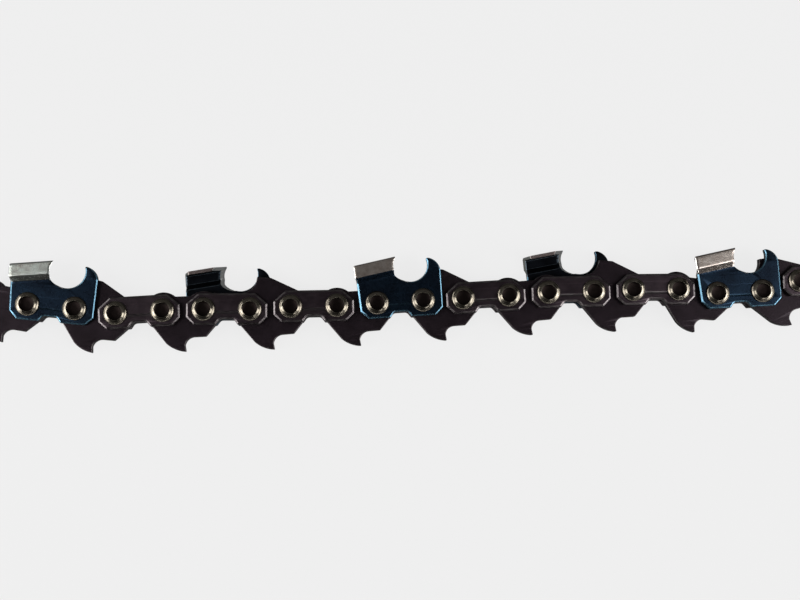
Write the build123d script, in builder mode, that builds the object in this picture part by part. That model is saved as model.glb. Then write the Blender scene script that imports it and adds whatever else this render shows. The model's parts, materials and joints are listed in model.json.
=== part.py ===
"""A length of 3/8 inch saw chain, lying on its side.

Millimetres. +X is the way the chain runs, +Y the side of the cutting teeth, +Z along the rivets, up from the
surface that the chain lies on. The origin is the middle of the free eye of the first drive link.
Each drive link swings on two rivets, between two side plates. One of the plates is a preset strap, a tie strap
that carries the rivets in one piece. The other is a cutter or a plain tie strap, which the rivets go through.
"""
from build123d import *
from math import cos, radians, sin, tan
import os

# Chain
pitch = 9.525  # half the distance over three rivets
strap_spacing = 10.2  # between the two rivets of a side plate
drive_spacing = 2 * pitch - strap_spacing  # between the two eyes of a drive link
link_pairs = 10  # each is a drive link and the two side plates ahead of it

# Thickness, across the chain
gauge = 1.47  # drive link, which runs in the bar's groove
plate = 1.4  # tie strap and cutter
side_play = 0.06  # between a drive link and each side plate
inner_face = gauge / 2 + side_play
outer_face = inner_face + plate

# Rivets
rivet_radius = 1.8
rivet_proud = 0.9  # past the plate that the rivets go through
strap_fit = 0.02  # radial, around the rivet in a side plate
drive_fit = 0.05  # radial, around the rivet in a drive link

# Tie strap, measured from the rivets
strap_end = 3.75
strap_top = 3.5
strap_foot = 3.4
upper_corner = (2.65, 2.3)  # cut off each upper corner, along and across
lower_corner = (1.7, 1.65)  # cut off each lower corner
notch_height = 1.2  # between the two feet
notch_width = 3.0
notch_flare = 0.9

# Cutter, measured from its rear rivet
heel_lean = 4.2  # degrees that the rear edge leans back
heel_skew = 15  # degrees that the rear edge of the tooth runs forward across the chain
bend_height = 4.4  # where the side plate of the tooth leaves the flat of the cutter, at the heel
tooth_height = 4.05  # from the bend to the top plate
tooth_rise = 9.5  # degrees that the top plate climbs to its cutting edge
tooth_set = rivet_proud  # how far the tooth stands out past the strap, level with the rivet ends
jog_height = 1.2
tooth_root = 1.0  # how far the tooth runs down into the flat of the cutter
corner_cut = 0.5  # bevel between side plate and top plate
top_plate = 0.85  # thickness of the top plate
top_reach = 1.2  # how far the top plate crosses the middle of the chain
top_fall = 0.25  # how much lower the top plate is there
file_angle = 30  # degrees that the filed cutting edge runs back across the chain
file_radius = 3.5  # round file that sharpens the tooth
gullet_radius = 3.8
gullet_centre = (7.85, 8.05)
gauge_tip = (12.0, 9.35)  # depth gauge
gauge_shoulder = (13.6, 8.4)
gauge_front = 4.25  # past the front rivet
front_shoulder_height = 6.6

# Drive link, measured from its trailing eye
eye_radius = 4.1
eye_end = 4.1
eye_flat = 1.2  # half the straight end of an eye
eye_arc = (130, 49)  # degrees where the round top of an eye starts and ends
tang_root = (-2.9, -2.7)
tang_heel = (0.5, -7.2)
tang_belly = (2.65, -8.6)
tang_tip = (4.8, -9.1)
hook_start = (4.62, -7.7)
hook_middle = (5.3, -6.5)
hook_end = (6.8, -5.95)
tang_corner = (9.2, -5.9)
front_flank = (3.65, -2.2)  # from the leading eye
bumper_rise = 98  # degrees on the trailing eye where the bumper starts
bumper_hollow = (1.0, 5.1)
bumper_horn = (1.84, 7.15)
bumper_crest = (4.9, 6.75)

# How each link lies, in degrees from +X
drive_lie = (-10.8, -6.6, 1.8, 3.8, 3.6, 3.1, 4.2, 2.4, -6.2, 15.0)
strap_lie = (-5.5, 3.5, 0.0, 1.1, 3.6, 3.4, 1.4, 0.7, 3.0, 0.0)

# Which side each cutter is on: +1 is a right-hand cutter, on the upper side. The other pairs have a tie strap.
cutter_side = {1: 1, 3: -1, 5: 1, 7: -1, 9: 1}


def heading(angle):
    return Vector(cos(radians(angle)), sin(radians(angle)), 0)


def ahead(start, lie, length):
    return start + heading(lie) * length


def link_plane(start, lie, height):
    return Plane(origin=start + Vector(0, 0, height), x_dir=heading(lie), z_dir=(0, 0, 1))


def on_eye(centre_x, angle):
    return (centre_x + eye_radius * cos(radians(angle)), eye_radius * sin(radians(angle)))


def save(part, name):
    part.label = name
    export_step(part, f"parts/{name}.step")


def drive_link(name, start, lie, bumper):
    first_end, second_start = eye_arc[0], 180 - eye_arc[1]
    front = drive_spacing
    with BuildPart() as link:
        with BuildSketch(link_plane(start, lie, -gauge / 2)):
            with BuildLine():
                if bumper:
                    rise = on_eye(0, bumper_rise)
                    crown_end = on_eye(front, eye_arc[1])
                    CenterArc((0, 0), eye_radius, bumper_rise, first_end - bumper_rise)
                    ThreePointArc(rise, bumper_hollow, bumper_horn)
                    Polyline(bumper_horn, bumper_crest, crown_end)
                else:
                    crown_end = on_eye(front, 180 - first_end)
                    CenterArc((0, 0), eye_radius, eye_arc[1], first_end - eye_arc[1])
                    Line(on_eye(0, eye_arc[1]), on_eye(front, second_start))
                    CenterArc((front, 0), eye_radius, 180 - first_end, second_start - 180 + first_end)
                Polyline(
                    crown_end,
                    (front + eye_end, eye_flat),
                    (front + eye_end, -eye_flat),
                    (front + front_flank[0], front_flank[1]),
                    tang_corner,
                    hook_end,
                )
                ThreePointArc(hook_end, hook_middle, hook_start)
                Line(hook_start, tang_tip)
                ThreePointArc(tang_tip, tang_belly, tang_heel)
                Polyline(tang_heel, tang_root, (-eye_end, -eye_flat), (-eye_end, eye_flat), on_eye(0, first_end))
            make_face()
            with Locations((0, 0), (front, 0)):
                Circle(rivet_radius + drive_fit, mode=Mode.SUBTRACT)
        extrude(amount=gauge)
    save(link.part, name)


def foot_outline(rear, front):
    """The lower edge of a side plate, from its rear edge to its front edge."""
    middle = strap_spacing / 2
    notch_top = -strap_foot + notch_height
    return [
        (rear, -strap_foot + lower_corner[1]),
        (rear + lower_corner[0], -strap_foot),
        (middle - notch_width / 2 - notch_flare, -strap_foot),
        (middle - notch_width / 2, notch_top),
        (middle + notch_width / 2, notch_top),
        (middle + notch_width / 2 + notch_flare, -strap_foot),
        (front - lower_corner[0], -strap_foot),
        (front, -strap_foot + lower_corner[1]),
    ]


def tie_strap(name, start, lie, side, riveted=()):
    """A tie strap, with a hole or a rivet in each end. A place along it that is in riveted has the rivet."""
    rear, front = -strap_end, strap_spacing + strap_end
    inside = link_plane(start, lie, side * inner_face)
    open_ends = [(place, 0) for place in (0, strap_spacing) if place not in riveted]
    with BuildPart() as strap:
        with BuildSketch(inside):
            with BuildLine():
                Polyline(
                    *foot_outline(rear, front),
                    (front, strap_top - upper_corner[1]),
                    (front - upper_corner[0], strap_top),
                    (rear + upper_corner[0], strap_top),
                    (rear, strap_top - upper_corner[1]),
                    close=True,
                )
            make_face()
            if open_ends:
                with Locations(*open_ends):
                    Circle(rivet_radius + strap_fit, mode=Mode.SUBTRACT)
        extrude(amount=side * plate)
        if riveted:
            with BuildSketch(inside):
                with Locations(*[(place, 0) for place in riveted]):
                    Circle(rivet_radius)
            extrude(amount=-side * (inner_face + outer_face + rivet_proud))
    save(strap.part, name)


def tooth_section(side):
    """The bent tooth seen along the chain: height over the bend, and distance from the middle of the chain."""
    set_inner, set_outer = inner_face + tooth_set, outer_face + tooth_set
    crown, inner_cut = set_outer - corner_cut, corner_cut / 2

    def top(across):
        return tooth_height - top_fall * (crown - across) / (crown + top_reach)

    section = [
        (-tooth_root, inner_face),
        (-tooth_root, outer_face),
        (0, outer_face),
        (jog_height, set_outer),
        (tooth_height - corner_cut, set_outer),
        (tooth_height, crown),
        (top(-top_reach), -top_reach),
        (top(-top_reach) - top_plate, -top_reach),
        (top(set_inner - inner_cut) - top_plate, set_inner - inner_cut),
        (top(set_inner - inner_cut) - top_plate - inner_cut, set_inner),
        (jog_height, set_inner),
        (0, inner_face),
    ]
    return [(height, side * across) for height, across in section]


def cutter(name, start, lie, side):
    rear, front = -strap_end, strap_spacing + gauge_front
    heel_x = rear - (bend_height + strap_foot - lower_corner[1]) * tan(radians(heel_lean))
    rise = radians(tooth_rise)
    spare = tooth_height * tan(rise) + tooth_set  # tooth behind the heel, cut off along the rear edge
    run = (gullet_centre[0] - heel_x) / cos(rise)  # tooth before it is filed
    shoulder = (front, front_shoulder_height)
    file_stroke = 2 * (outer_face + tooth_set)  # to either side, past the whole tooth
    file_reach = file_radius / cos(radians(file_angle)) - gullet_radius  # so that both cut the same edge
    bend_front = bend_height + (gullet_centre[0] - heel_x) * tan(rise)
    middle = link_plane(start, lie, 0)
    heel = middle.from_local_coords(Vector(heel_x, bend_height, 0))
    forward, upward = heading(lie + tooth_rise), heading(lie + tooth_rise + 90)
    across = Vector(0, 0, side)
    gullet = middle.from_local_coords(Vector(*gullet_centre, side * (outer_face + tooth_set)))
    file_way = across * cos(radians(file_angle)) + forward * sin(radians(file_angle))
    heel_normal = heading(lie + heel_lean) * cos(radians(heel_skew)) + across * sin(radians(heel_skew))
    with BuildPart() as tooth:
        with BuildSketch(Plane(origin=heel - forward * spare, x_dir=upward, z_dir=forward)):
            with BuildLine():
                Polyline(*tooth_section(side), close=True)
            make_face()
        extrude(amount=spare + run)
        split(bisect_by=Plane(origin=heel + across * outer_face, z_dir=heel_normal), keep=Keep.TOP)
        with BuildSketch(link_plane(start, lie, side * inner_face)):
            with BuildLine():
                Polyline(
                    gauge_tip,
                    (gullet_centre[0], gauge_tip[1]),
                    (gullet_centre[0], bend_front),
                    (heel_x, bend_height),
                    *foot_outline(rear, front),
                    shoulder,
                )
                ThreePointArc(shoulder, gauge_shoulder, gauge_tip)
            make_face()
            with Locations(gullet_centre):
                Circle(gullet_radius, mode=Mode.SUBTRACT)
            with Locations((0, 0), (strap_spacing, 0)):
                Circle(rivet_radius + strap_fit, mode=Mode.SUBTRACT)
        extrude(amount=side * plate)
        with BuildSketch(Plane(origin=gullet + forward * file_reach, z_dir=file_way)):
            Circle(file_radius)
        extrude(amount=file_stroke, both=True, mode=Mode.SUBTRACT)
    save(tooth.part, name)


def lay_chain():
    """Where each drive link and each pair of side plates starts, one after the other from the free eye."""
    places, eye = [], Vector(0, 0, 0)
    for drive_angle, strap_angle in zip(drive_lie, strap_lie):
        rear = ahead(eye, drive_angle, drive_spacing)
        places.append((eye, rear))
        eye = ahead(rear, strap_angle, strap_spacing)
    return places


def build():
    os.makedirs("parts", exist_ok=True)
    for number, (eye, rear) in enumerate(lay_chain(), start=1):
        drive_angle, strap_angle = drive_lie[number - 1], strap_lie[number - 1]
        riveted = (0,) if number == link_pairs else (0, strap_spacing)
        side = cutter_side.get(number)
        if side:
            hand = "right" if side > 0 else "left"
            drive_link(f"drive_link_{number:02}", eye, drive_angle, False)
            cutter(f"{hand}_cutter_{number:02}", rear, strap_angle, side)
            tie_strap(f"preset_strap_{number:02}", rear, strap_angle, -side, riveted)
        else:
            drive_link(f"bumper_link_{number:02}", eye, drive_angle, True)
            tie_strap(f"preset_strap_{number:02}", rear, strap_angle, 1, riveted)
            tie_strap(f"tie_strap_{number:02}", rear, strap_angle, -1)


if __name__ == "__main__":
    build()
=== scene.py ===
import bmesh
import bpy
import json
from math import atan2, cos, pi, radians, sin, sqrt, tan
from mathutils import Matrix, Vector
from mathutils.geometry import tessellate_polygon

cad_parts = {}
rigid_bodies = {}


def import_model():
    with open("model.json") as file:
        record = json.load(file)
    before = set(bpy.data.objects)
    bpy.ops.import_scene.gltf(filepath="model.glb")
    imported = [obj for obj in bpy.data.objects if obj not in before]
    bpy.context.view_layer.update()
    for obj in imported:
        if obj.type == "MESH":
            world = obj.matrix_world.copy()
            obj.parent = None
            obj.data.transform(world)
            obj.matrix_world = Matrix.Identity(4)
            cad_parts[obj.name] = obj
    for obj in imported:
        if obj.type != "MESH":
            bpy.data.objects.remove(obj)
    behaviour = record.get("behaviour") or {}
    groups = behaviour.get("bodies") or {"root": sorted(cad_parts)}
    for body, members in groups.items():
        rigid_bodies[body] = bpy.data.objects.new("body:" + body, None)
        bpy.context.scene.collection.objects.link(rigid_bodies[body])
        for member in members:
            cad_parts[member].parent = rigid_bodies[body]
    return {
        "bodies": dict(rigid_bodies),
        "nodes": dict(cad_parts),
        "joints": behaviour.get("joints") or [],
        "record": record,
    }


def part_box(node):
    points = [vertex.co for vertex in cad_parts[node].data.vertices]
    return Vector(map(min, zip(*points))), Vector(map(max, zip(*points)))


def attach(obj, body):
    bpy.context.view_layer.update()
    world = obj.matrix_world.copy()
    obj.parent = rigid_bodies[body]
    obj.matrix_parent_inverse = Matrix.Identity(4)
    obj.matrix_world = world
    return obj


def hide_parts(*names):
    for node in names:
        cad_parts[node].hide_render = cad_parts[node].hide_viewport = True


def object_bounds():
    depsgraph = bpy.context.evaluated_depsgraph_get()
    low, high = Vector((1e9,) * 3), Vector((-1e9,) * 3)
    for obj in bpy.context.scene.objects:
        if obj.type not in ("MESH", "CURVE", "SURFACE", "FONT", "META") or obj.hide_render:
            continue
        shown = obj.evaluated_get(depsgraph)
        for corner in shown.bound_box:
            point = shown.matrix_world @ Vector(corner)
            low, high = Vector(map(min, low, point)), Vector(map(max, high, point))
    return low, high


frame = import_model()
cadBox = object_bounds()
mm = 0.001  # lengths below are millimetres unless a note says otherwise

# hole centres of every link, from the frame's hinges and its two open ends
hinges = {joint["name"]: Vector(joint["pos_m"]) for joint in frame["joints"]}
mounts = {mount["name"]: Vector(mount["pos_m"]) for mount in frame["record"]["mounts"]}
linkPairs = sum(body.startswith("drive_") for body in frame["bodies"])
pairNumbers = range(1, linkPairs + 1)
rearHoles = {number: hinges[f"rear_hinge_{number:02}"] for number in pairNumbers}
frontHoles = {number: hinges.get(f"front_hinge_{number:02}", mounts["free_holes"]) for number in pairNumbers}
frontHoles[0] = mounts["free_eye"]

chain = {
    "strapSpacing": (frontHoles[1] - rearHoles[1]).length / mm,
    "driveSpacing": (rearHoles[1] - frontHoles[0]).length / mm,
    "halfGauge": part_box("drive_link_01")[1].z / mm,
    "innerFace": -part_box("tie_strap_02")[1].z / mm,  # side plates, from the middle of the chain
    "outerFace": -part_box("tie_strap_02")[0].z / mm,
    "rivetEnd": -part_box("preset_strap_02")[0].z / mm,
    "pinRadius": 1.8,
    "plateFit": 0.02,
    "driveFit": 0.05,
    "holeRound": 0.06, "holeSteps": 48,
    "weld": 0.006,  # corners nearer than this are one corner
    "seamWeld": 0.04,  # and so are these, along an open seam
    "sliver": 0.0015,  # shorter edges are dropped
    "sharpFrom": 42,  # degrees; creases that turn further stay sharp
}


# small tools for outlines

cornerSteps = 3  # short edges that round a corner
cornerReach = 0.42  # the most of an edge that the round at one of its ends may take
straightTurn = 1e-4  # the sine of a turn too small to count


def onCircle(centre, radius, angle):
    turn = radians(angle)
    return centre[0] + radius * cos(turn), centre[1] + radius * sin(turn)


def arcPoints(centre, radius, startAngle, endAngle, steps):
    turn = endAngle - startAngle
    return [onCircle(centre, radius, startAngle + turn * step / steps) for step in range(steps + 1)]


def arcThrough(start, middle, end, steps):
    a, b, c = Vector(start), Vector(middle), Vector(end)
    # twist is positive where the arc runs anticlockwise
    twist = 2 * ((b - a).x * (c - a).y - (b - a).y * (c - a).x)
    ab, ac = (b - a).length_squared, (c - a).length_squared
    offset = Vector((ab * (c - a).y - ac * (b - a).y, ac * (b - a).x - ab * (c - a).x)) / twist
    centre = a + offset
    first, last = (atan2((p - centre).y, (p - centre).x) for p in (a, c))
    if twist > 0 and last < first:
        last += 2 * pi
    if twist < 0 and last > first:
        last -= 2 * pi
    radius = offset.length
    angles = [first + (last - first) * step / steps for step in range(steps + 1)]
    return [(centre.x + radius * cos(angle), centre.y + radius * sin(angle)) for angle in angles]


def softCorners(points, radius, steps=cornerSteps, closed=True, leastTurn=12):
    # a small arc at each corner that turns by leastTurn degrees or more
    soft = []
    for i, here in enumerate(points):
        here = Vector(here)
        if not closed and i in (0, len(points) - 1):
            soft.append(tuple(here))
            continue
        back = Vector(points[i - 1]) - here
        on = Vector(points[(i + 1) % len(points)]) - here
        turn = pi - back.angle(on)
        if turn < radians(leastTurn):
            soft.append(tuple(here))
            continue
        reach = min(radius * tan(turn / 2), cornerReach * back.length, cornerReach * on.length)
        start, end = here + back.normalized() * reach, here + on.normalized() * reach
        for step in range(steps + 1):
            share = step / steps
            soft.append(tuple(start.lerp(here, share).lerp(here.lerp(end, share), share)))
    return soft


def insetRing(points, insets):
    # every edge moves to its left by its own inset, and corners stay where two edges meet
    ring = []
    for i, here in enumerate(points):
        here = Vector(here)
        along = (here - Vector(points[i - 1])).normalized()
        onward = (Vector(points[(i + 1) % len(points)]) - here).normalized()
        turn = along.x * onward.y - along.y * onward.x
        before = Vector((-along.y, along.x)) * insets[i - 1]
        after = Vector((-onward.y, onward.x)) * insets[i]
        if abs(turn) < straightTurn:
            ring.append(tuple(here + (before + after) / 2))
            continue
        gap = after - before
        slide = (gap.x * onward.y - gap.y * onward.x) / turn
        ring.append(tuple(here + before + along * slide))
    return ring


# a stamped edge, a slope with soft ends, as (inset, depth) shares of its width from the face to the wall
edgeProfile = [(1.0, 0.0), (0.88, 0.04), (0.12, 0.48), (0.0, 0.62)]
edgeRub = (0.0, 0.85, 1.0, 0.35)  # how much handling has rubbed each step of it
grooveProfile = [(0.0, 0.0), (0.12, 1.0), (0.88, 1.0), (1.0, 0.0)]  # a coined slope, as (share of it, painted highlight on its walls)


# small tools for meshes

def startMesh():
    return {"points": [], "faces": [], "finish": [], "wearAndHighlight": []}


def addRing(build, points, wearAndHighlight):
    # this value is one for the whole ring, or a list with one for each point: wear on edges and rivet rims,
    # and a painted highlight on groove walls and inside bends
    first = len(build["points"])
    build["points"] += points
    build["wearAndHighlight"] += wearAndHighlight if isinstance(wearAndHighlight, list) else [wearAndHighlight] * len(points)
    return list(range(first, len(build["points"])))


def addFaces(build, faces, finish):
    build["faces"] += faces
    build["finish"] += [finish] * len(faces)


def joinRings(build, ringA, ringB, finish, skip=(), special=None):
    # special gives single sides a finish of their own
    for i in range(len(ringA)):
        after = (i + 1) % len(ringA)
        if i not in skip:
            side = (special or {}).get(i, finish)
            addFaces(build, [(ringA[i], ringA[after], ringB[after], ringB[i])], side)


def fillRings(build, rings, finish):
    loops = [[Vector(build["points"][i]) for i in ring] for ring in rings]
    order = [i for ring in rings for i in ring]
    addFaces(build, [tuple(order[i] for i in corners) for corners in tessellate_polygon(loops)], finish)


def addGroove(build, face, finish, outline, depth, slope, rub):
    # coined into a face, with its outline clockwise, as a hole's is; gives back its rim
    # the walls get a painted highlight through the wear value, so that the groove reads as a light line
    rings = []
    for share, worn in grooveProfile:
        ring = insetRing(outline[::-1], [slope * share] * len(outline))[::-1]
        rings.append(addRing(build, [(x, y, face - depth * share) for x, y in ring], rub * worn))
    for upper, lower in zip(rings, rings[1:]):
        joinRings(build, upper, lower, finish)
    fillRings(build, [rings[-1]], finish)
    return rings[0]


def addPlate(build, outline, holes, foot, face, rounds, footShare, finish, **extra):
    # a stamped plate from foot to face; rounds has the width of the soft slope along each side of its face,
    # and footShare is how much of that its foot has; extra: a groove in the face, openEdges left for
    # another mesh, special finishes of single sides, footFinish, and under, the foot's own outline
    openEdges, special = extra.get("openEdges", ()), extra.get("special")
    count = len(outline)
    corner = []
    for i in range(count):
        near = [rounds[edge] for edge in (i - 1, i) if edge % count not in openEdges]
        corner.append(sum(near) / len(near) if near else 0)
    small = chain["holeRound"]
    loops = [(outline, extra.get("under", outline), rounds, corner, openEdges)]
    loops += [(hole, hole, [small] * len(hole), [small] * len(hole), ()) for hole in holes]
    caps = {"foot": [], "face": []}
    profile = list(zip(edgeProfile, edgeRub))
    steps = [("foot", *step) for step in profile] + [("face", *step) for step in profile[::-1]]
    for points, under, radii, depths, skip in loops:
        rings = []
        for end, (inset, depth), rub in steps:
            size = footShare if end == "foot" else 1.0
            insets = [inset * radius * size for radius in radii]
            drops = [depth * radius * size for radius in depths]
            heights = [foot + drop if end == "foot" else face - drop for drop in drops]
            ring = []
            for (lowX, lowY), (x, y), z in zip(insetRing(under, insets), insetRing(points, insets), heights):
                share = (z - foot) / (face - foot)
                ring.append((lowX + (x - lowX) * share, lowY + (y - lowY) * share, z))
            worn = rub * size if points is outline else 0.0
            rings.append(addRing(build, ring, [worn if radius else 0.0 for radius in depths]))
        for lower, upper in zip(rings, rings[1:]):
            joinRings(build, lower, upper, finish, skip, special if points is outline else None)
        caps["foot"].append(rings[0])
        caps["face"].append(rings[-1])
    if "groove" in extra:
        caps["face"].append(addGroove(build, face, finish, *extra["groove"]))
    fillRings(build, caps["foot"], extra.get("footFinish", finish))
    fillRings(build, caps["face"], finish)


def makePiece(name, build, place, finishes, side=1):
    # a side of -1 mirrors the piece to the under side of the chain as it lies
    mesh = bpy.data.meshes.new(name)
    mesh.from_pydata([(x * mm, y * mm, side * z * mm) for x, y, z in build["points"]], [], build["faces"])
    mesh.polygons.foreach_set("material_index", build["finish"])
    mesh.attributes.new("wearAndHighlight", "FLOAT", "POINT").data.foreach_set("value", build["wearAndHighlight"])
    work = bmesh.new()
    work.from_mesh(mesh)
    bmesh.ops.remove_doubles(work, verts=work.verts, dist=chain["weld"] * mm)
    seam = [corner for corner in work.verts if corner.is_boundary]
    bmesh.ops.remove_doubles(work, verts=seam, dist=chain["seamWeld"] * mm)
    bmesh.ops.dissolve_degenerate(work, edges=work.edges, dist=chain["sliver"] * mm)
    bmesh.ops.recalc_face_normals(work, faces=work.faces)
    work.to_mesh(mesh)
    work.free()
    mesh.transform(place)
    for finish in finishes:
        mesh.materials.append(finish)
    mesh.shade_smooth()
    mesh.set_sharp_from_angle(angle=radians(chain["sharpFrom"]))
    piece = bpy.data.objects.new(name, mesh)
    bpy.context.scene.collection.objects.link(piece)
    # large flats stay flat beside their rounds
    level = piece.modifiers.new("level faces", "WEIGHTED_NORMAL")
    level.keep_sharp = True
    return piece


def linkPlace(start, end):
    turn = atan2(end.y - start.y, end.x - start.x)
    return Matrix.Translation(start) @ Matrix.Rotation(turn, 4, "Z")


# small tools for materials

def hexColour(code):
    parts = [int(code[i:i + 2], 16) / 255 for i in (1, 3, 5)]
    return [part / 12.92 if part <= 0.04045 else ((part + 0.055) / 1.055) ** 2.4 for part in parts] + [1.0]


def perSize(size):
    return 1 / (size * mm)  # pattern scale for a feature of that many millimetres


def setSockets(tree, node, sockets):
    for socket, value in sockets.items():
        if isinstance(value, bpy.types.NodeSocket):
            tree.links.new(value, node.inputs[socket])
        else:
            node.inputs[socket].default_value = value


def addNode(tree, kind, inputs=None, **settings):
    # sockets that share a name go by number: a colour mix has its share at 0 and its colours at 6 and 7,
    # a map range its value at 0, the range that is read at 1 and 2, and the range that it gives at 3 and 4
    made = tree.nodes.new(kind)
    for setting, value in settings.items():
        setattr(made, setting, value)
    setSockets(tree, made, inputs or {})
    return made


patternShift = 60.0  # the most that a pattern is moved, so that no two pieces show the same patch of it


def startFinish(name):
    finish = bpy.data.materials.new(name)
    finish.use_nodes = True
    tree = finish.node_tree
    place = addNode(tree, "ShaderNodeTexCoord").outputs["Object"]
    each = addNode(tree, "ShaderNodeObjectInfo").outputs["Random"]
    shift = addNode(tree, "ShaderNodeMath", {0: each, 1: patternShift}, operation="MULTIPLY").outputs[0]
    wearAndHighlight = addNode(tree, "ShaderNodeAttribute", attribute_name="wearAndHighlight").outputs["Fac"]
    return finish, tree, tree.nodes["Principled BSDF"], place, shift, wearAndHighlight


# black oxide on stamped and tumbled steel: a thin brown-black skin over a satin metal, oily, lighter where
# links have rubbed its corners

def blackOxideSteel(name, look):
    finish, tree, shader, place, shift, wearAndHighlight = startFinish(name)
    cloud = addNode(tree, "ShaderNodeTexNoise", {
        "Vector": place, "W": shift, "Scale": perSize(look["cloud"]), "Detail": 3.0,
    }, noise_dimensions="4D").outputs["Fac"]
    stretch = addNode(tree, "ShaderNodeMapping", {
        "Vector": place, "Scale": (look["grainStretch"], 1.0, 1.0),
    })
    grain = addNode(tree, "ShaderNodeTexNoise", {
        "Vector": stretch.outputs[0], "W": shift, "Scale": perSize(look["grain"]), "Detail": 4.0,
    }, noise_dimensions="4D").outputs["Fac"]
    skin = addNode(tree, "ShaderNodeMapRange", {0: cloud, 1: 0.32, 2: 0.68}).outputs[0]
    colour = addNode(tree, "ShaderNodeMix", {
        0: skin, 6: hexColour(look["thick"]), 7: hexColour(look["thin"]),
    }, data_type="RGBA").outputs[2]
    patchy = addNode(tree, "ShaderNodeMapRange", {0: grain, 1: 0.35, 2: 0.7, 3: 0.25}).outputs[0]
    # the bare colour marks worn corners, and also paints a highlight on the groove walls
    worn = addNode(tree, "ShaderNodeMath", {0: wearAndHighlight, 1: patchy}, operation="MULTIPLY").outputs[0]
    wear = addNode(tree, "ShaderNodeMath", {0: worn, 1: look["wear"]}, operation="MULTIPLY").outputs[0]
    colour = addNode(tree, "ShaderNodeMix", {
        0: wear, 6: colour, 7: hexColour(look["bare"]),
    }, data_type="RGBA").outputs[2]
    rough = addNode(tree, "ShaderNodeMapRange", {
        0: grain, 1: 0.3, 2: 0.7, 3: look["smoothest"], 4: look["roughest"],
    }).outputs[0]
    bump = addNode(tree, "ShaderNodeBump", {
        "Height": grain, "Strength": look["bump"], "Distance": look["grainDepth"] * mm,
    }).outputs[0]
    setSockets(tree, shader, {
        "Base Color": colour, "Metallic": 1.0, "Roughness": rough, "Normal": bump,
        "Coat Weight": look["oil"], "Coat Roughness": 0.18, "Coat IOR": 1.47,  # a film of chain oil
    })
    return finish


# blued tool steel: a dark blue temper colour, a paler blue along the edges where the skin is rubbed thin

def bluedSteel(name, look):
    finish, tree, shader, place, shift, wearAndHighlight = startFinish(name)
    cloud = addNode(tree, "ShaderNodeTexNoise", {
        "Vector": place, "W": shift, "Scale": perSize(look["cloud"]), "Detail": 2.0,
    }, noise_dimensions="4D").outputs["Fac"]
    speck = addNode(tree, "ShaderNodeTexNoise", {
        "Vector": place, "W": shift, "Scale": perSize(look["speck"]), "Detail": 5.0,
    }, noise_dimensions="4D").outputs["Fac"]
    temper = addNode(tree, "ShaderNodeMapRange", {0: cloud, 1: 0.3, 2: 0.7}).outputs[0]
    colour = addNode(tree, "ShaderNodeMix", {
        0: temper, 6: hexColour(look["deep"]), 7: hexColour(look["light"]),
    }, data_type="RGBA").outputs[2]
    patchy = addNode(tree, "ShaderNodeMapRange", {0: speck, 1: 0.3, 2: 0.62, 3: 0.45}).outputs[0]
    # the paler blue marks worn edges, and also paints a highlight on groove walls and inside the tooth's
    # bends
    worn = addNode(tree, "ShaderNodeMath", {0: wearAndHighlight, 1: patchy}, operation="MULTIPLY").outputs[0]
    wear = addNode(tree, "ShaderNodeMath", {0: worn, 1: look["wear"]}, operation="MULTIPLY").outputs[0]
    colour = addNode(tree, "ShaderNodeMix", {
        0: wear, 6: colour, 7: hexColour(look["edge"]),
    }, data_type="RGBA").outputs[2]
    rough = addNode(tree, "ShaderNodeMapRange", {
        0: speck, 1: 0.3, 2: 0.7, 3: look["smoothest"], 4: look["roughest"],
    }).outputs[0]
    bump = addNode(tree, "ShaderNodeBump", {
        "Height": speck, "Strength": look["bump"], "Distance": look["speckDepth"] * mm,
    }).outputs[0]
    setSockets(tree, shader, {
        "Base Color": colour, "Metallic": 1.0, "Roughness": rough, "Normal": bump,
    })
    return finish


# hard chrome plate on a ground tooth: satin grey, faint lengthwise grinding marks, a little brown staining

def hardChromePlate(name, look):
    finish, tree, shader, place, shift, wearAndHighlight = startFinish(name)
    stain = addNode(tree, "ShaderNodeTexNoise", {
        "Vector": place, "W": shift, "Scale": perSize(look["stainSize"]), "Detail": 4.0,
    }, noise_dimensions="4D").outputs["Fac"]
    stretch = addNode(tree, "ShaderNodeMapping", {
        "Vector": place, "Scale": (look["markStretch"], 1.0, 1.0),
    })
    marks = addNode(tree, "ShaderNodeTexNoise", {
        "Vector": stretch.outputs[0], "W": shift, "Scale": perSize(look["markWidth"]), "Detail": 3.0,
    }, noise_dimensions="4D").outputs["Fac"]
    stained = addNode(tree, "ShaderNodeMapRange", {
        0: stain, 1: 0.42, 2: 0.78, 4: look["stainMost"],
    }).outputs[0]
    colour = addNode(tree, "ShaderNodeMix", {
        0: stained, 6: hexColour(look["plate"]), 7: hexColour(look["stain"]),
    }, data_type="RGBA").outputs[2]
    colour = addNode(tree, "ShaderNodeMix", {
        0: wearAndHighlight, 6: colour, 7: hexColour(look["edge"]),
    }, data_type="RGBA").outputs[2]
    rough = addNode(tree, "ShaderNodeMapRange", {
        0: marks, 1: 0.3, 2: 0.7, 3: look["smoothest"], 4: look["roughest"],
    }).outputs[0]
    bump = addNode(tree, "ShaderNodeBump", {
        "Height": marks, "Strength": look["bump"], "Distance": look["markDepth"] * mm,
    }).outputs[0]
    setSockets(tree, shader, {
        "Base Color": colour, "Metallic": 1.0, "Roughness": rough, "Normal": bump,
    })
    return finish


# freshly ground steel on the cutting edges: bright, with fine parallel scratches from sharpening

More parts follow.
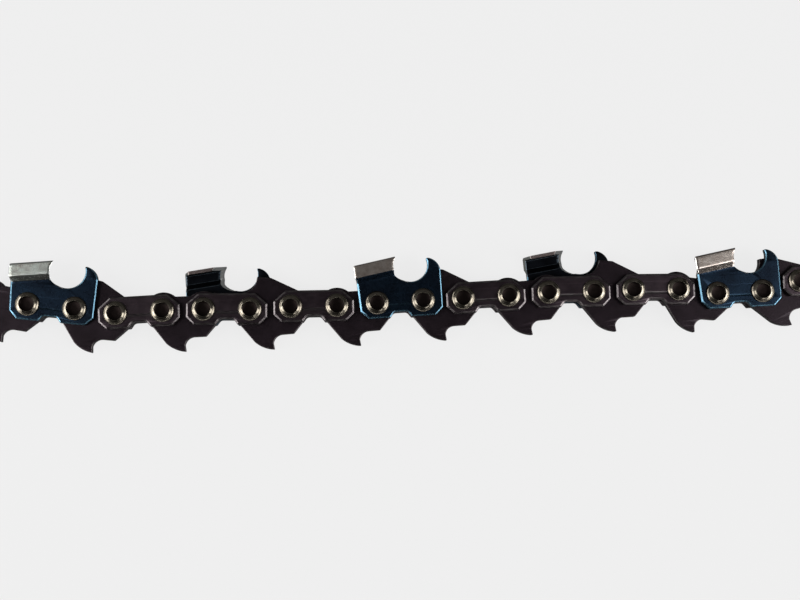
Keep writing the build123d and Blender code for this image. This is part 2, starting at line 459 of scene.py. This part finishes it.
def groundSteel(name, look):
    finish, tree, shader, place, shift, _ = startFinish(name)
    stretch = addNode(tree, "ShaderNodeMapping", {
        "Vector": place, "Scale": (1.0, look["scratchStretch"], 1.0),
    })
    scratch = addNode(tree, "ShaderNodeTexNoise", {
        "Vector": stretch.outputs[0], "W": shift, "Scale": perSize(look["scratchWidth"]), "Detail": 3.0,
    }, noise_dimensions="4D").outputs["Fac"]
    colour = addNode(tree, "ShaderNodeMix", {
        0: scratch, 6: hexColour(look["dull"]), 7: hexColour(look["bright"]),
    }, data_type="RGBA").outputs[2]
    bump = addNode(tree, "ShaderNodeBump", {
        "Height": scratch, "Strength": look["bump"], "Distance": look["scratchDepth"] * mm,
    }).outputs[0]
    setSockets(tree, shader, {
        "Base Color": colour, "Metallic": 1.0, "Roughness": look["rough"], "Normal": bump,
    })
    return finish


# spun rivet steel: a burnished warm rim round a dark, oily hollow

def rivetSteel(name, look):
    finish, tree, shader, place, shift, wearAndHighlight = startFinish(name)
    cloud = addNode(tree, "ShaderNodeTexNoise", {
        "Vector": place, "W": shift, "Scale": perSize(look["cloud"]), "Detail": 4.0,
    }, noise_dimensions="4D").outputs["Fac"]
    patchy = addNode(tree, "ShaderNodeMapRange", {0: cloud, 1: 0.3, 2: 0.7, 3: 0.55}).outputs[0]
    shine = addNode(tree, "ShaderNodeMath", {0: wearAndHighlight, 1: patchy}, operation="MULTIPLY").outputs[0]
    colour = addNode(tree, "ShaderNodeMix", {
        0: shine, 6: hexColour(look["hollow"]), 7: hexColour(look["rim"]),
    }, data_type="RGBA").outputs[2]
    rough = addNode(tree, "ShaderNodeMapRange", {
        0: shine, 3: look["hollowRough"], 4: look["rimRough"],
    }).outputs[0]
    bump = addNode(tree, "ShaderNodeBump", {
        "Height": cloud, "Strength": look["bump"], "Distance": look["cloudDepth"] * mm,
    }).outputs[0]
    setSockets(tree, shader, {
        "Base Color": colour, "Metallic": 1.0, "Roughness": rough, "Normal": bump,
    })
    return finish


strapFinish = blackOxideSteel("black oxide steel, tumbled", {
    "thick": "#272024", "thin": "#352D31", "bare": "#74706F", "cloud": 2.6,
    "grain": 0.34,  # rolling grain is finer, and drawn this coarse to show
    "grainStretch": 0.25, "grainDepth": 0.02, "bump": 0.35, "wear": 0.7, "smoothest": 0.28, "roughest": 0.38,
    "oil": 0.12,
})
driveFinish = blackOxideSteel("black oxide steel, sheared", {
    "thick": "#1A1518", "thin": "#221C20", "bare": "#6E6A68", "cloud": 3.2,
    "grain": 0.3,  # coarser than the real grain, to show
    "grainStretch": 0.35, "grainDepth": 0.02, "bump": 0.4, "wear": 0.35, "smoothest": 0.36, "roughest": 0.5,
    "oil": 0.08,
})
bluedFinish = bluedSteel("blued tool steel", {
    "deep": "#131922", "light": "#192532", "edge": "#5A7C8E", "cloud": 4.5, "speck": 0.4, "speckDepth": 0.015,
    "bump": 0.25, "wear": 0.85, "smoothest": 0.24, "roughest": 0.36,
})
# painted shade: unplated blued steel drawn darker than it is, for the shade inside the tooth and on the foot
# side of the flat
toothShadeFinish = bluedSteel("blued tool steel, painted dark for shade inside the tooth", {
    "deep": "#07080A", "light": "#0E1014", "edge": "#66727C", "cloud": 3.0, "speck": 0.4, "speckDepth": 0.015,
    "bump": 0.25, "wear": 0.6, "smoothest": 0.4, "roughest": 0.55,
})
tipFinish = blackOxideSteel("sheared steel edge of the top plate", {
    "thick": "#4E4644", "thin": "#6C6260", "bare": "#8F8882", "cloud": 1.6,
    "grain": 0.3,  # coarser than the real grain, to show
    "grainStretch": 0.35, "grainDepth": 0.02, "bump": 0.4, "wear": 0.5, "smoothest": 0.34, "roughest": 0.46,
    "oil": 0.05,
})
chromeFinish = hardChromePlate("hard chrome plate", {
    "plate": "#B9BFB9", "stain": "#8E7F74", "edge": "#D2D4D0", "stainSize": 1.4, "stainMost": 0.6,
    "markWidth": 0.28,  # grinding marks are finer, and drawn this wide to show
    "markStretch": 0.12, "markDepth": 0.015, "bump": 0.3, "smoothest": 0.18, "roughest": 0.26,
})
stainedFinish = hardChromePlate("hard chrome plate, heat stained", {
    "plate": "#B3AAA3", "stain": "#84746A", "edge": "#CFCBC4", "stainSize": 1.4, "stainMost": 0.7,
    "markWidth": 0.28,  # coarser than the real marks, to show
    "markStretch": 0.12, "markDepth": 0.015, "bump": 0.3, "smoothest": 0.18, "roughest": 0.26,
})
groundFinish = groundSteel("ground steel", {
    "dull": "#A9ABAA", "bright": "#DADCDA",
    "scratchWidth": 0.22,  # scratches are finer, and drawn this wide to show
    "scratchStretch": 0.15, "scratchDepth": 0.012, "bump": 0.3, "rough": 0.28,
})
rivetFinish = rivetSteel("spun rivet steel", {
    "hollow": "#130F0E", "rim": "#706A5F", "cloud": 0.5, "cloudDepth": 0.012, "bump": 0.05,
    "hollowRough": 0.4, "rimRough": 0.12,
})
print("finishes, with the frame's own:", len(bpy.data.materials))


# rivet holes

def pinHoles(spacing, fit):
    # both holes of a plate, clockwise
    radius, steps = chain["pinRadius"] + fit, chain["holeSteps"]
    return [arcPoints((x, 0), radius, 360, 360 / steps, steps - 1) for x in (0, spacing)]


# drive links

driveLink = {
    "eyeRadius": 4.1, "eyeEnd": 4.1, "eyeFlat": 1.2, "eyeArc": (130, 49),  # degrees
    "tangRoot": (-2.9, -2.7), "tangHeel": (0.5, -7.2), "tangBelly": (2.65, -8.6), "tangTip": (4.8, -9.1),
    "hookStart": (4.62, -7.7), "hookMiddle": (5.3, -6.5), "hookEnd": (6.8, -5.95), "tangCorner": (9.2, -5.9),
    "frontFlank": (3.65, -2.2),  # from the leading eye
    "bumperRise": 98,  # degrees round the rear eye
    "bumperHollow": (1.0, 5.1), "bumperHorn": (1.84, 7.15), "bumperCrest": (4.9, 6.75),
    "edgeRound": 0.16, "cornerRound": 0.35, "cornerTurn": 15,  # degrees
    "tangSteps": 10, "hollowSteps": 8, "riseSteps": 6, "eyeSteps": 14,  # edges in each arc
}


def driveOutline(bumper):
    link = driveLink
    front, radius = chain["driveSpacing"], link["eyeRadius"]
    first, last = link["eyeArc"]
    points = [
        (-link["eyeEnd"], link["eyeFlat"]), (-link["eyeEnd"], -link["eyeFlat"]), link["tangRoot"],
        *arcThrough(link["tangHeel"], link["tangBelly"], link["tangTip"], link["tangSteps"]),
        *arcThrough(link["hookStart"], link["hookMiddle"], link["hookEnd"], link["tangSteps"]),
        link["tangCorner"], (front + link["frontFlank"][0], link["frontFlank"][1]),
        (front + link["eyeEnd"], -link["eyeFlat"]), (front + link["eyeEnd"], link["eyeFlat"]),
    ]
    if bumper:
        rise = arcPoints((0, 0), radius, link["bumperRise"], first, link["riseSteps"])
        points += [onCircle((front, 0), radius, last), link["bumperCrest"]]
        points += arcThrough(link["bumperHorn"], link["bumperHollow"], rise[0], link["hollowSteps"])
        points += rise[1:]
    else:
        points += arcPoints((front, 0), radius, 180 - first, 180 - last, link["eyeSteps"])
        points += arcPoints((0, 0), radius, last, first, link["eyeSteps"])
    return softCorners(points, link["cornerRound"], leastTurn=link["cornerTurn"])


def makeDriveLink(number):
    bumper = f"bumper_link_{number:02}" in frame["nodes"]
    node = f"bumper_link_{number:02}" if bumper else f"drive_link_{number:02}"
    outline = driveOutline(bumper)
    build = startMesh()
    holes = pinHoles(chain["driveSpacing"], chain["driveFit"])
    rounds = [driveLink["edgeRound"]] * len(outline)
    addPlate(build, outline, holes, -chain["halfGauge"], chain["halfGauge"], rounds, footShare=1.0, finish=0)
    place = linkPlace(frontHoles[number - 1], rearHoles[number])
    piece = makePiece(f"{node}_steel", build, place, [driveFinish])
    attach(piece, f"drive_{number:02}")
    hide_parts(node)


for number in pairNumbers:
    makeDriveLink(number)
print("drive links:", linkPairs)


# tie straps

tieStrap = {
    "end": 3.75, "top": 3.5, "foot": 3.4, "upperCorner": (2.65, 2.3), "lowerCorner": (1.7, 1.65),
    "notchHeight": 1.2, "notchWidth": 3.0, "notchFlare": 0.9, "notchRound": 1.0, "notchSteps": 7,
    "faceRound": 0.42, "footShare": 0.4, "cornerRound": 0.3,
    "grooveSide": 2.25, "grooveCorner": 0.2, "grooveLow": -1.0, "grooveHigh": -0.42,
    "grooveDepth": 0.14, "grooveSlope": 0.27, "grooveHighlight": 0.8,
# the groove's last value is a painted highlight on its walls
}


def footOutline(rear, front):
    middle, foot = chain["strapSpacing"] / 2, -tieStrap["foot"]
    half, flare = tieStrap["notchWidth"] / 2, tieStrap["notchFlare"]
    along, up = tieStrap["lowerCorner"]
    notch = softCorners([
        (middle - half - flare, foot), (middle - half, foot + tieStrap["notchHeight"]),
        (middle + half, foot + tieStrap["notchHeight"]), (middle + half + flare, foot),
    ], tieStrap["notchRound"], tieStrap["notchSteps"], False)
    between = (rear + along + middle - half - flare) / 2  # edges may change their round at this point
    return [
        (rear, foot + up), (rear + along, foot), (between, foot), *notch,
        (front - along, foot), (front, foot + up),
    ]


def coinedGroove(sizes):
    # a shallow groove between the rivets: its outline, clockwise, then depth, slope and painted highlight
    left, right = tieStrap["grooveSide"], chain["strapSpacing"] - tieStrap["grooveSide"]
    low, high = sizes["grooveLow"], sizes["grooveHigh"]
    outline = softCorners([(left, low), (left, high), (right, high), (right, low)], tieStrap["grooveCorner"])
    return outline, sizes["grooveDepth"], sizes["grooveSlope"], sizes["grooveHighlight"]


def makeTieStrap(node, number, side):
    rear, front = -tieStrap["end"], chain["strapSpacing"] + tieStrap["end"]
    along, down = tieStrap["upperCorner"]
    top = tieStrap["top"]
    outline = softCorners([
        *footOutline(rear, front),
        (front, top - down), (front - along, top), (rear + along, top), (rear, top - down),
    ], tieStrap["cornerRound"])
    build = startMesh()
    holes = pinHoles(chain["strapSpacing"], chain["plateFit"])
    rounds = [tieStrap["faceRound"]] * len(outline)
    addPlate(build, outline, holes, chain["innerFace"], chain["outerFace"], rounds, tieStrap["footShare"],
             finish=0, groove=coinedGroove(tieStrap))
    place = linkPlace(rearHoles[number], frontHoles[number])
    piece = makePiece(f"{node}_steel", build, place, [strapFinish], side)
    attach(piece, f"strap_{number:02}")
    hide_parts(node)


# cutters

cutter = {
    "heelLean": 4.2, "heelSkew": 15, "toothRise": 9.5, "fileAngle": 30,  # degrees
    "bendHeight": 4.4, "toothHeight": 4.05, "jogHeight": 1.2, "cornerCut": 0.34,
    "topPlate": 0.72, "topReach": 1.2, "topFall": 0.25,
    "fileRadius": 3.5, "gulletRadius": 3.8, "gulletCentre": (7.85, 8.05),
    "gaugeTip": (12.0, 9.35), "gaugeShoulder": (13.6, 8.4), "gaugeFront": 4.25, "frontShoulder": 6.6,
    "seam": 0.5,  # the tooth's mesh starts this far under the bend, on the flat
    "faceRound": 0.27, "edgeRound": 0.06, "footShare": 0.4, "cornerRound": 0.3,
    "bendRounds": (0.6, 0.5, 0.22, 0.22),  # outside of the four bends of the tooth, from the flat up
    "bendSteps": 4, "straights": (1, 2, 6, 2, 6),  # edges in each bend, and in each straight beside the bends
    "lengthSteps": 14, "gulletSteps": 52, "finSteps": 12,
    "tipSteps": 4,  # gullet edges that the round at the gauge's tip takes
    "filedSteps": 16, "filedBlued": 4,  # gullet edges that grow keen towards the tooth, the first ones blued
    "grooveLow": -0.85, "grooveHigh": -0.42, "grooveDepth": 0.08, "grooveSlope": 0.18, "grooveHighlight": 0.15,
    "bendHighlight": 0.8,  # painted highlight along the inside of the bends
    "heelRound": 0.4,  # on the rear edge
    "keenShare": 0.4, "keenFrom": 7,  # the tooth's share of that, and points up its section where it starts
    "stained": (5, 9),  # pairs whose plating has browned
    "platedFrom": {5: 9}, "platedUsual": 4,  # points up the bent section where the plating starts
}
# hollow is the painted shade finish, for the inside of the tooth and the foot side of the flat
blued, plated, ground, hollow, sheared = range(5)  # a cutter's finishes, in the order that makeCutter gives


def toothSection():
    # matching outer and inner lines of the bent tooth, as (height over the bend, distance across the chain)
    inner, outer = chain["innerFace"], chain["outerFace"]
    setOut = chain["rivetEnd"] - outer  # the tooth stands out as far as the rivets
    crown = outer + setOut - cutter["cornerCut"]
    innerCut = cutter["cornerCut"] / 2
    reach, high = -cutter["topReach"], cutter["toothHeight"]

    def top(across):
        return high - cutter["topFall"] * (crown - across) / (crown - reach)

    outside = [
        (-cutter["seam"], outer), (0, outer), (cutter["jogHeight"], outer + setOut),
        (high - cutter["cornerCut"], outer + setOut), (high, crown), (top(reach), reach),
    ]
    under = top(inner + setOut - innerCut) - cutter["topPlate"]
    inside = [
        (-cutter["seam"], inner), (0, inner), (cutter["jogHeight"], inner + setOut),
        (under - innerCut, inner + setOut), (under, inner + setOut - innerCut),
        (top(reach) - cutter["topPlate"], reach),
    ]
    return [bentLine(line) for line in (outside, inside)]


def bentLine(corners):
    # rounds each bend and splits the straights, with the same count of points on either face
    steps, line = cutter["bendSteps"], [corners[0]]
    straights = cutter["straights"]
    for i, count in enumerate(straights):
        start = Vector(line[-1])
        if i == len(straights) - 1:
            end, bend = Vector(corners[-1]), []
        else:
            bend = softCorners(corners[i:i + 3], cutter["bendRounds"][i], steps, False, leastTurn=0)[1:-1]
            end = Vector(bend[0])
        line += [tuple(start.lerp(end, step / count)) for step in range(1, count + 1)]
        line += bend[1:]
    return line


def bendPlaces():
    # which points of a bent line are in the middle of its bends
    places, passed = [], 0
    for count in cutter["straights"][:-1]:
        passed += count
        places.append(passed + cutter["bendSteps"] // 2)
        passed += cutter["bendSteps"]
    return places


def toothLie():
    # the tooth climbs forward from its heel; the round file crosses it at an angle, so that its cut is an
    # ellipse in every layer of the tooth
    lean, rise = radians(cutter["heelLean"]), radians(cutter["toothRise"])
    drop = cutter["bendHeight"] + tieStrap["foot"] - tieStrap["lowerCorner"][1]
    return {
        "heel": Vector((-tieStrap["end"] - drop * tan(lean), cutter["bendHeight"])),
        "heelTurn": rise - lean,
        "forward": Vector((cos(rise), sin(rise))),
        "upward": Vector((-sin(rise), cos(rise))),
        "gullet": Vector(cutter["gulletCentre"]),
        "fileTall": cutter["fileRadius"],
        "fileWide": cutter["fileRadius"] / cos(radians(cutter["fileAngle"])),
    }


tooth = toothLie()


def onTooth(length, height):
    return tuple(tooth["heel"] + tooth["forward"] * length + tooth["upward"] * height)


def toothRail(section, lengths):
    # a section of the tooth, with each of its points at its own length along the climb
    return [(*onTooth(length, height), across) for (height, across), length in zip(section, lengths)]


def fileShift(across):
    # from the gullet's middle to the ellipse's, along the climb of the tooth
    skewed = (across - chain["rivetEnd"]) * tan(radians(cutter["fileAngle"]))
    return tooth["fileWide"] - cutter["gulletRadius"] + skewed


def heelStart(height, across, inset=0.0):
    # where along its climb the tooth starts
    skewed = min(max(height / cutter["jogHeight"], 0), 1) * tan(radians(cutter["heelSkew"]))
    back = (chain["outerFace"] - across) * skewed + height * sin(tooth["heelTurn"]) + inset
    return back / cos(tooth["heelTurn"])


def edgeEnd(height, across, inset=0.0):
    # and where the file has cut it off
    off = tooth["heel"] + tooth["upward"] * height - tooth["gullet"]
    chord = sqrt(1 - (off.dot(tooth["upward"]) / (tooth["fileTall"] + inset)) ** 2)
    return fileShift(across) - off.dot(tooth["forward"]) - (tooth["fileWide"] + inset) * chord


def seamLine(across, size):
    # where the tooth leaves the flat
    low, count = -cutter["seam"], cutter["lengthSteps"]
    first = heelStart(low, across, cutter["heelRound"] * size)
    last = edgeEnd(low, across, cutter["edgeRound"] * size)
    between = [first + (last - first) * step / count for step in range(1, count)]
    return [onTooth(length, low) for length in (heelStart(low, across), *between, edgeEnd(low, across))]


def gulletLine(across, end):
    # the stamped round of the gullet, or the file's cut where that reaches further
    gullet, shift = tooth["gullet"], fileShift(across) / tooth["fileWide"]
    rise = cutter["gaugeTip"][1] - gullet.y
    first = atan2(rise, sqrt(cutter["gulletRadius"] ** 2 - rise ** 2))
    last = atan2(end[1] - gullet.y, end[0] - gullet.x)
    line = []
    for step in range(cutter["gulletSteps"]):
        angle = first + (last - first) * step / cutter["gulletSteps"]
        way = Vector((cos(angle), sin(angle)))
        along = way.dot(tooth["forward"]) / tooth["fileWide"]
        up = way.dot(tooth["upward"]) / tooth["fileTall"]
        square = along ** 2 + up ** 2
        filed = (shift * along + sqrt((shift * along) ** 2 - square * (shift ** 2 - 1))) / square
        line.append(tuple(gullet + way * max(cutter["gulletRadius"], filed)))
    return line


def flatOutline(across, size):
    # once round the flat and its depth gauge, and back along the seam that is left for the tooth
    rear, front = -tieStrap["end"], chain["strapSpacing"] + cutter["gaugeFront"]
    seam = seamLine(across, size)
    arc = gulletLine(across, seam[-1])
    shoulder, tip = (front, cutter["frontShoulder"]), cutter["gaugeTip"]
    fin = arcThrough(shoulder, cutter["gaugeShoulder"], tip, cutter["finSteps"])
    taken = cutter["tipSteps"]
    corners = [seam[0], *footOutline(rear, front), *fin, arc[0], arc[taken]]
    body = softCorners(corners, cutter["cornerRound"], closed=False)
    return [*body[1:-1], *arc[taken:], *seam[::-1]]


def addFlat(build):
    # its sides slant where the file has cut, so that its foot has an outline of its own
    outline = flatOutline(chain["outerFace"], 1.0)
    under = flatOutline(chain["innerFace"], cutter["footShare"])
    seamAt = len(outline) - cutter["lengthSteps"] - 1
    openEdges = set(range(seamAt, len(outline) - 1))
    filedEdges = range(seamAt - cutter["filedSteps"], seamAt)
    rounds = [cutter["faceRound"]] * len(outline)
    for i in filedEdges:
        share = (seamAt - 1 - i) / cutter["filedSteps"]
        rounds[i] = cutter["edgeRound"] + (cutter["faceRound"] - cutter["edgeRound"]) * share
    for i in openEdges:
        rounds[i] = 0.0
    rearEdges = 2 * (cornerSteps + 1)  # two rounded corners
    for i in range(-1, rearEdges):
        rounds[i] = cutter["heelRound"]
    holes = pinHoles(chain["strapSpacing"], chain["plateFit"])
    bright = dict.fromkeys(filedEdges[cutter["filedBlued"]:], ground)
    # the foot side of the flat takes the painted shade finish
    addPlate(build, outline, holes, chain["innerFace"], chain["outerFace"], rounds, cutter["footShare"],
             finish=blued, groove=coinedGroove(cutter), openEdges=openEdges, special=bright,
             footFinish=hollow, under=under)


def addTooth(build, platedFrom):
    # closed sections one after another, from the heel along the climb to the cutting edge
    outside, inside = toothSection()
    loop = inside + outside[::-1]
    tip, last = len(inside) - 1, len(loop) - 1  # the edge from last to 0 is open to the flat
    sizes = [cutter["footShare"] if i <= tip else 1.0 for i in range(len(loop))]
    keen = [cutter["keenShare"] if tip < i <= last - cutter["keenFrom"] else 1.0 for i in range(len(loop))]
    heelReach = [cutter["heelRound"] * size * share for size, share in zip(sizes, keen)]
    edgeReach = [cutter["edgeRound"] * size for size in sizes]
    heelRounds, edgeRounds = [*heelReach[:-1], 0.0], [*edgeReach[:-1], 0.0]  # none on the open edge
    places = bendPlaces()
    # a painted highlight along the inside of each bend, carried in the wear value
    bendHighlights = [cutter["bendHighlight"] if i in places else 0.0 for i in range(len(loop))]
    profile = list(zip(edgeProfile, edgeRub))
    stations = []
    for (inset, depth), rub in profile[::-1]:
        section = insetRing(loop, [depth * size for size in heelRounds])
        starts = [heelStart(*point, inset * back) for point, back in zip(section, heelReach)]
        stations.append(addRing(build, toothRail(section, starts), rub))
    starts = [heelStart(*point, back) for point, back in zip(loop, heelReach)]
    ends = [edgeEnd(*point, fore) for point, fore in zip(loop, edgeReach)]
    for step in range(1, cutter["lengthSteps"]):
        share = step / cutter["lengthSteps"]
        lengths = [start + (end - start) * share for start, end in zip(starts, ends)]
        stations.append(addRing(build, toothRail(loop, lengths), bendHighlights))
    for (inset, depth), rub in profile:
        section = insetRing(loop, [depth * size for size in edgeRounds])
        ends = [edgeEnd(*point, inset * fore) for point, fore in zip(section, edgeReach)]
        stations.append(addRing(build, toothRail(section, ends), rub))
    # the inside of the tooth takes the painted shade finish
    skins = [hollow] * tip + [sheared] + [plated] * (last - platedFrom - tip - 1) + [blued] * platedFrom
    for rail, following in zip(stations, stations[1:]):
        for i, skin in enumerate(skins):
            addFaces(build, [(rail[i], rail[i + 1], following[i + 1], following[i])], skin)
    for cap, skin in ((stations[0], plated), (stations[-1], ground)):
        addFaces(build, [(cap[i], cap[i + 1], cap[last - i - 1], cap[last - i]) for i in range(tip)], skin)


def makeCutter(node, number, side):
    build = startMesh()
    addFlat(build)
    addTooth(build, cutter["platedFrom"].get(number, cutter["platedUsual"]))
    place = linkPlace(rearHoles[number], frontHoles[number])
    plating = stainedFinish if number in cutter["stained"] else chromeFinish
    finishes = [bluedFinish, plating, groundFinish, toothShadeFinish, tipFinish]
    piece = makePiece(f"{node}_steel", build, place, finishes, side)
    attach(piece, f"strap_{number:02}")
    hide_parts(node)


for number in pairNumbers:
    for hand, side in (("right", 1), ("left", -1)):
        if f"{hand}_cutter_{number:02}" in frame["nodes"]:
            makeCutter(f"{hand}_cutter_{number:02}", number, side)
            makeTieStrap(f"preset_strap_{number:02}", number, -side)
    if f"tie_strap_{number:02}" in frame["nodes"]:
        makeTieStrap(f"preset_strap_{number:02}", number, 1)
        makeTieStrap(f"tie_strap_{number:02}", number, -1)
print("side plates:", 2 * linkPairs)


# rivets, turned from the middle of the shank out, as (radius, height over the plate, rubbed)

rivet = {
    "head": [
        (2.6, 0.0, 0.2), (2.6, 0.3, 0.4), (2.56, 0.42, 0.8), (2.2, 0.67, 0.8), (2.14, 0.69, 0.4),
        (2.08, 0.7, 0.4), (2.04, 0.73, 1.0), (1.74, 0.88, 1.0), (1.68, 0.9, 1.0), (1.63, 0.85, 0.5),
        (1.6, 0.68, 0.1), (1.56, 0.48, 0.0), (1.45, 0.42, 0.0), (0.5, 0.4, 0.0),
    ],
    "shankRub": 0.2, "turnSteps": 64,
}


def makeRivet(name, number, centre):
    build = startMesh()
    shank, face, steps = chain["pinRadius"], chain["outerFace"], rivet["turnSteps"]
    half = [(shank, 0.0, 0.0), (shank, face, rivet["shankRub"])]
    half += [(radius, face + height, rub) for radius, height, rub in rivet["head"]]
    turned = [(radius, -height, rub) for radius, height, rub in half[:0:-1]] + half
    rings = []
    for radius, height, rub in turned:
        circle = arcPoints((0, 0), radius, 0, 360 - 360 / steps, steps - 1)
        rings.append(addRing(build, [(x, y, height) for x, y in circle], rub))
    for lower, upper in zip(rings, rings[1:]):
        joinRings(build, lower, upper, 0)
    addFaces(build, [tuple(rings[0]), tuple(rings[-1])], 0)
    piece = makePiece(name, build, Matrix.Translation(centre), [rivetFinish])
    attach(piece, f"strap_{number:02}")


for number in pairNumbers:
    makeRivet(f"rear_rivet_{number:02}", number, rearHoles[number])
    if f"front_hinge_{number:02}" in hinges:
        makeRivet(f"front_rivet_{number:02}", number, frontHoles[number])
print("rivets:", len(hinges))


# floor, light and camera

studio = {
    "floor": "#EEEEEE", "floorGlow": 0.93, "floorShade": 0.045, "floorRough": 0.9,
    "floorReach": 8.0,  # metres to each side
    "floorBounce": 0.15,  # share of the glow that reaches the steel
    "air": 0.035,  # strength of the light from all round
    "levelOver": 1.0,  # metres; lights that hang higher are level, and the others face the chain
    # metres and watts; two brighter panels stand either side of the middle of the large one
    "panel": {"place": (0.09, 0.25, 1.32), "size": 2.4, "height": 2.4, "power": 2.2},
    "leftPanel": {"place": (-0.66, 0.25, 1.3), "size": 1.0, "height": 2.4, "power": 2.0},
    "rightPanel": {"place": (0.94, 0.25, 1.3), "size": 1.0, "height": 2.4, "power": 1.5},
    "leftStrip": {"place": (-0.5, -0.14, 0.5), "size": 0.34, "height": 0.72, "power": 5.4},
    "rightStrip": {"place": (0.68, -0.14, 0.5), "size": 0.34, "height": 0.72, "power": 5.4},
    "leftLow": {"place": (-0.5, -0.02, 0.22), "size": 0.95, "height": 0.16, "power": 4.3},
    "rightLow": {"place": (0.68, -0.1, 0.22), "size": 0.7, "height": 0.16, "power": 3.2},
    "front": {"place": (0.42, -0.5, 0.52), "size": 0.26, "height": 0.1, "power": 0.41},
    "frontLow": {"place": (0.09, -0.9, 0.06), "size": 1.6, "height": 0.1, "power": 2.2},
    "frontLeft": {"place": (-0.66, -1.2, 0.1), "size": 0.8, "height": 0.18, "power": 0.28},
    "frontRight": {"place": (0.86, -1.2, 0.1), "size": 0.8, "height": 0.18, "power": 0.28},
    "back": {"place": (0.0, 0.75, 0.35), "size": 1.6, "height": 0.3, "power": 0.3},
}


def makeFloor():
    reach, low = studio["floorReach"], cadBox[0].z
    mesh = bpy.data.meshes.new("floor")
    corners = [(x * reach, y * reach, low) for x, y in ((-1, -1), (1, -1), (1, 1), (-1, 1))]
    mesh.from_pydata(corners, [], [(0, 1, 2, 3)])
    floor = bpy.data.objects.new("floor", mesh)
    bpy.context.scene.collection.objects.link(floor)
    finish = bpy.data.materials.new("pale light table")
    finish.use_nodes = True
    tree = finish.node_tree
    pale = hexColour(studio["floor"])
    seen = addNode(tree, "ShaderNodeLightPath").outputs["Is Camera Ray"]
    glow = addNode(tree, "ShaderNodeMapRange", {
        0: seen, 3: studio["floorGlow"] * studio["floorBounce"], 4: studio["floorGlow"],
    }).outputs[0]
    setSockets(tree, tree.nodes["Principled BSDF"], {
        "Base Color": [part * studio["floorShade"] for part in pale[:3]] + [1.0],
        "Roughness": studio["floorRough"], "Specular IOR Level": 0.0,
        "Emission Color": pale, "Emission Strength": glow,
    })
    mesh.materials.append(finish)


def makeLight(name, light, target):
    lamp = bpy.data.lights.new(name, "AREA")
    lamp.shape = "RECTANGLE"
    lamp.size = light["size"]
    lamp.size_y = light["height"]
    lamp.energy = light["power"]
    made = bpy.data.objects.new(name, lamp)
    bpy.context.scene.collection.objects.link(made)
    made.location = light["place"]
    aim = target - Vector(light["place"])
    if light["place"][2] > studio["levelOver"]:
        aim = Vector((0, 0, -1))
    made.rotation_euler = aim.to_track_quat("-Z", "Y").to_euler()


def makeAir():
    # the camera sees a backdrop as pale as the floor, and the steel sees a dim studio
    world = bpy.data.worlds.new("studio air")
    bpy.context.scene.world = world
    world.use_nodes = True
    tree = world.node_tree
    tree.nodes.clear()
    dim = addNode(tree, "ShaderNodeBackground", {"Color": (1.0, 1.0, 1.0, 1.0), "Strength": studio["air"]})
    pale = addNode(tree, "ShaderNodeBackground", {"Color": hexColour(studio["floor"])})
    seen = addNode(tree, "ShaderNodeLightPath").outputs["Is Camera Ray"]
    both = addNode(tree, "ShaderNodeMixShader", {0: seen, 1: dim.outputs[0], 2: pale.outputs[0]})
    addNode(tree, "ShaderNodeOutputWorld", {"Surface": both.outputs[0]})


cameraView = {
    "target": (89.863, -0.55, 0.0), "distance": 260.16, "lens": 52.67, "sensor": 36, "clipStart": 10,
    "yaw": 2.6, "pitch": 6.0, "roll": -0.275,  # degrees, from straight over the chain as it lies
}


def makeCamera():
    yaw, pitch, roll = (radians(cameraView[turn]) for turn in ("yaw", "pitch", "roll"))
    back = Vector((-sin(yaw) * cos(pitch), -sin(pitch), cos(yaw) * cos(pitch)))
    level = Vector((0, 1, 0)).cross(back).normalized()
    upright = back.cross(level)
    right = level * cos(roll) + upright * sin(roll)
    up = upright * cos(roll) - level * sin(roll)
    lens = bpy.data.cameras.new("camera")
    lens.lens = cameraView["lens"]
    lens.sensor_width = cameraView["sensor"]
    lens.clip_start = cameraView["clipStart"] * mm
    camera = bpy.data.objects.new("camera", lens)
    bpy.context.scene.collection.objects.link(camera)
    turned = Matrix((right, up, back)).transposed().to_4x4()
    place = (Vector(cameraView["target"]) + back * cameraView["distance"]) * mm
    camera.matrix_world = Matrix.Translation(place) @ turned
    bpy.context.scene.camera = camera


makeFloor()
middle = (cadBox[0] + cadBox[1]) / 2
lights = [name for name, value in studio.items() if isinstance(value, dict)]
for name in lights:
    makeLight(name, studio[name], middle)
makeAir()
makeCamera()
bpy.context.scene.view_settings.view_transform = "Standard"
print("studio: floor, camera and lights", lights)
